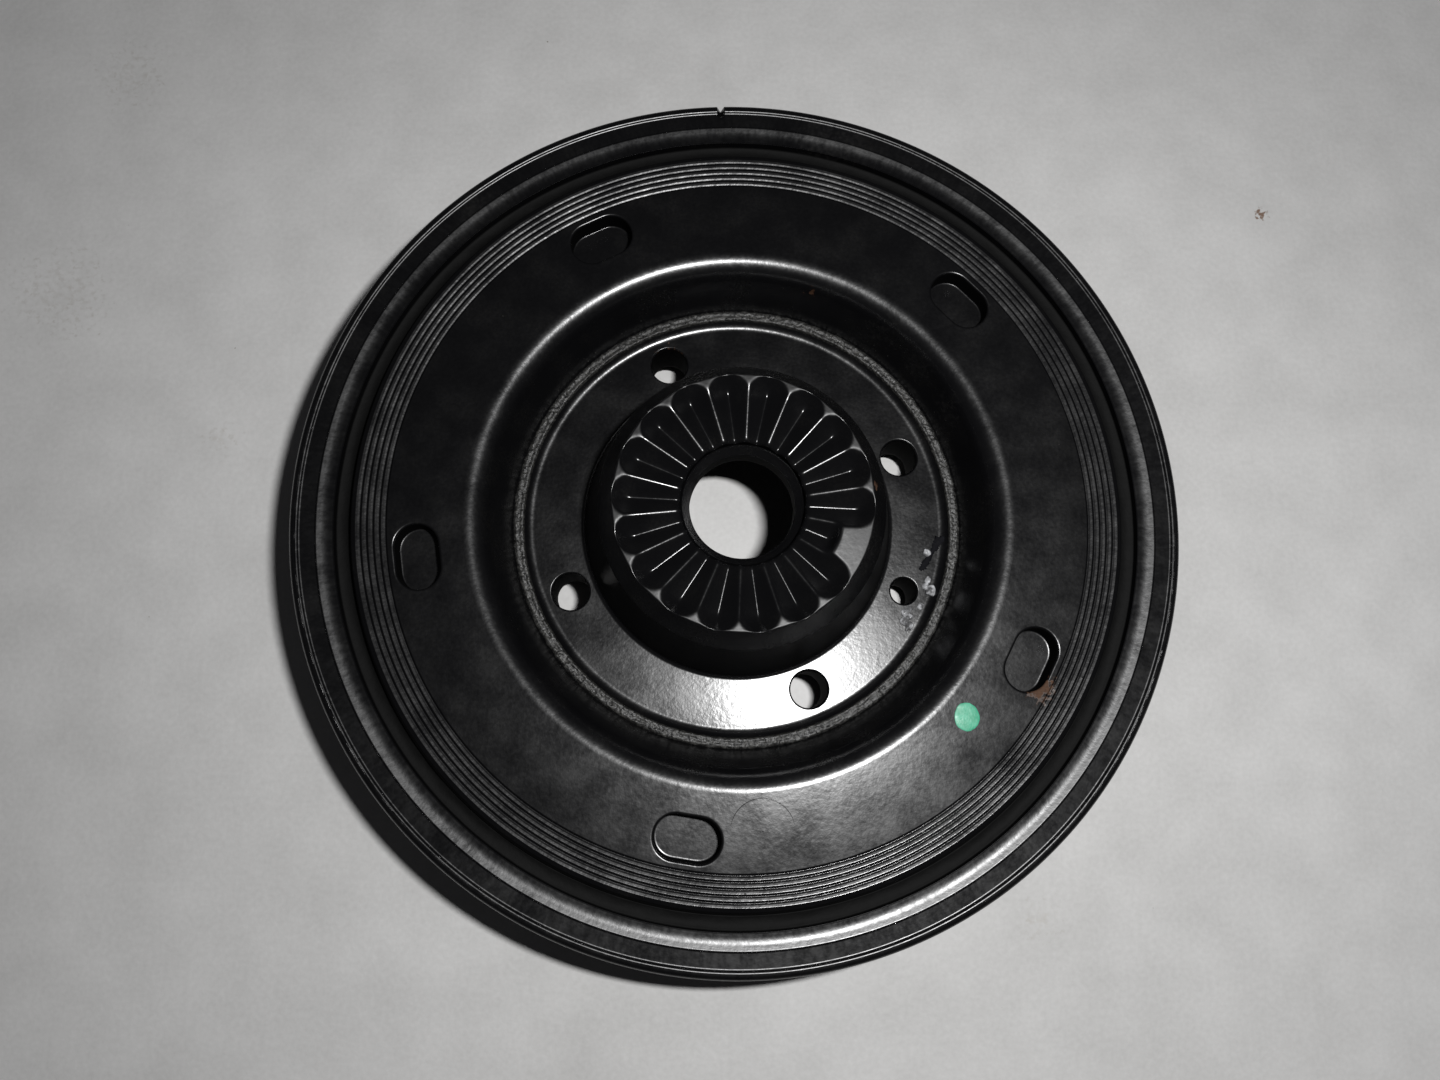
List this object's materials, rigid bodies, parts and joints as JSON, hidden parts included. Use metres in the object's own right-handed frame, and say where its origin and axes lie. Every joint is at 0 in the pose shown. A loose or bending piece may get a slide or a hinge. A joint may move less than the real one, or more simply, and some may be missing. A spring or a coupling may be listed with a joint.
{
  "type": "belt pulley",
  "caption": "Crankshaft pulley for a ribbed belt: rubber-damped outer ring on a dished disc, welded to a hub with a bolt flange and a face-splined boss.",
  "frame": {"origin": "on the pulley's axis, in the plane of the belt ring's front face, on which it lies", "axes": "+Z along the axis towards the engine, so the splined boss points up; the index hole lies at -22.5 degrees from +X and the timing notch at 92.2 degrees"},
  "size_m": [0.148, 0.148, 0.0333],
  "materials": {
    "hub_coat": "black dip coat on turned steel, satin",
    "weld": "rough grey weld under thin coat",
    "disc_coat": "black dip coat, satin",
    "rubber": "matt",
    "ring_coat": "black dip coat, satin"
  },
  "bodies": {
    "root": {"hub": "hub_coat", "weld_bead": "weld", "web_disc": "disc_coat", "rubber_ring": "rubber", "belt_ring": "ring_coat"}
  },
  "joints": []
}
